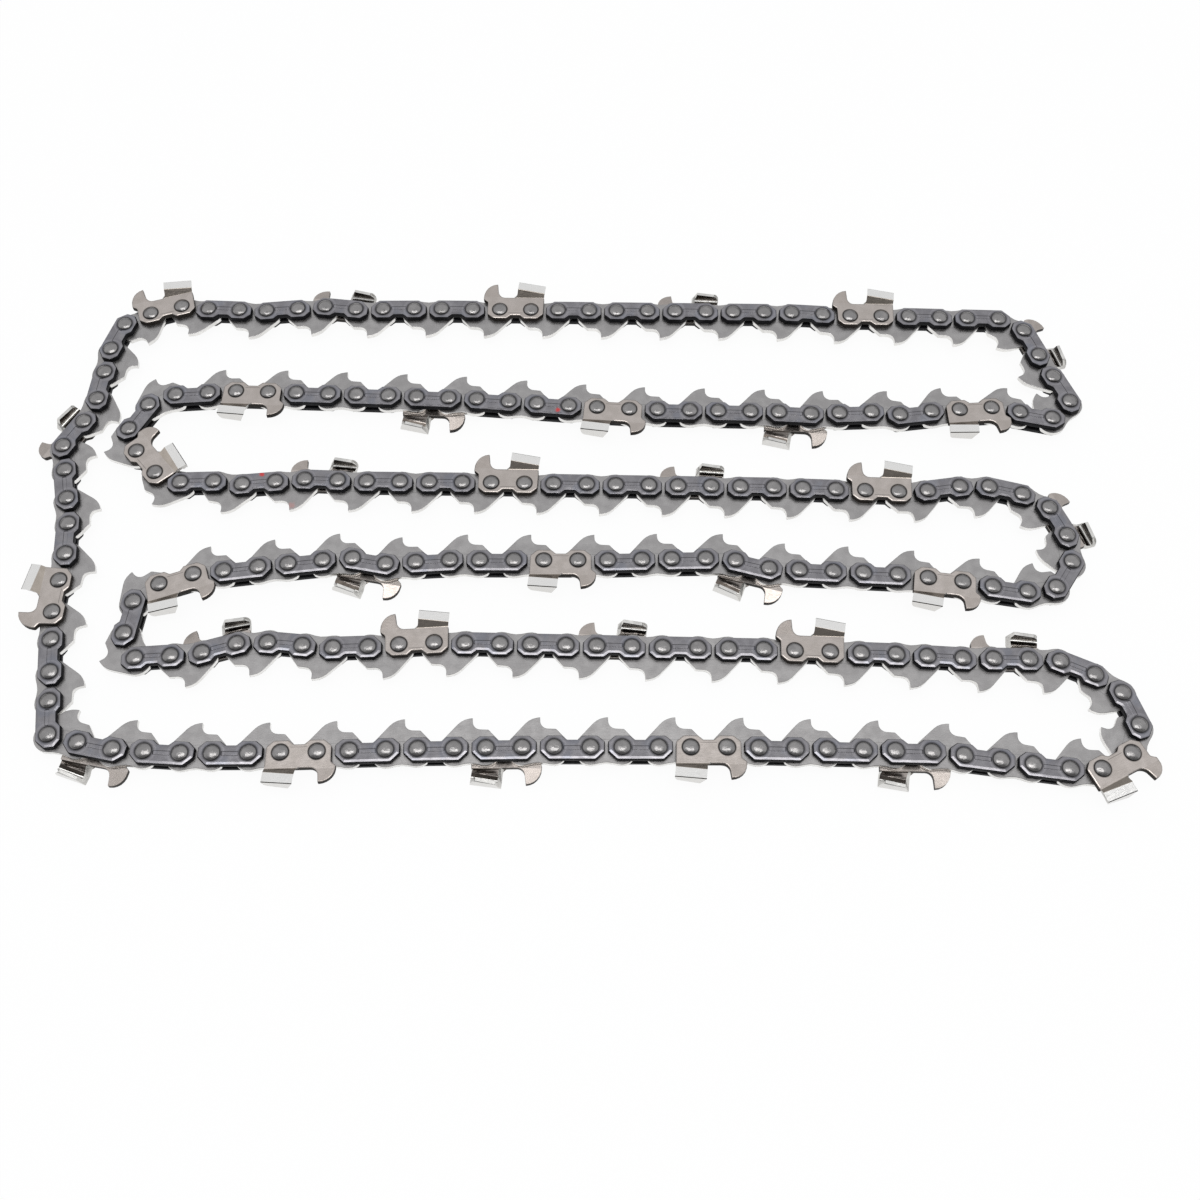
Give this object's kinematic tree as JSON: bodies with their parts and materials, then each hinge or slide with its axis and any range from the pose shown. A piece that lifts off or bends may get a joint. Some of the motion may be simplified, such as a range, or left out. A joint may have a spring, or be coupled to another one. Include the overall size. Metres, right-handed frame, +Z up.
{
  "type": "chainsaw chain loop",
  "caption": "Closed loop of steel saw chain laid on its side in folds: hooked drive links between pairs of tie straps, with hooded cutters and depth gauges on alternate sides.",
  "frame": {"origin": "on the table, under the middle of the folded loop", "axes": "+X to the right along the runs, +Y to the far runs, +Z up through the plates' thickness"},
  "size_m": [0.325, 0.1698, 0.0084],
  "materials": {
    "drive_steel": "matte warm grey steel, tumbled",
    "strap_steel": "satin blue-grey steel with rolled edges",
    "cutter_steel": "satin warm chrome plate, bright on the top plates"
  },
  "bodies": {
    "root": {"cutter_lower_02": "cutter_steel", "cutter_lower_04": "cutter_steel", "cutter_lower_06": "cutter_steel", "cutter_lower_08": "cutter_steel", "cutter_lower_10": "cutter_steel", "cutter_lower_13": "cutter_steel", "cutter_lower_15": "cutter_steel", "cutter_lower_17": "cutter_steel", "cutter_lower_19": "cutter_steel", "cutter_lower_21": "cutter_steel", "cutter_lower_23": "cutter_steel", "cutter_lower_25": "cutter_steel", "cutter_lower_27": "cutter_steel", "cutter_lower_29": "cutter_steel", "cutter_lower_31": "cutter_steel", "cutter_lower_33": "cutter_steel", "cutter_lower_35": "cutter_steel", "cutter_upper_01": "cutter_steel", "cutter_upper_03": "cutter_steel", "cutter_upper_05": "cutter_steel", "cutter_upper_07": "cutter_steel", "cutter_upper_09": "cutter_steel", "cutter_upper_11": "cutter_steel", "cutter_upper_12": "cutter_steel", "cutter_upper_14": "cutter_steel", "cutter_upper_16": "cutter_steel", "cutter_upper_18": "cutter_steel", "cutter_upper_20": "cutter_steel", "cutter_upper_22": "cutter_steel", "cutter_upper_24": "cutter_steel", "cutter_upper_26": "cutter_steel", "cutter_upper_28": "cutter_steel", "cutter_upper_30": "cutter_steel", "cutter_upper_32": "cutter_steel", "cutter_upper_34": "cutter_steel", "drive_links": "drive_steel", "tie_straps_lower": "strap_steel", "tie_straps_upper": "strap_steel"}
  },
  "joints": []
}
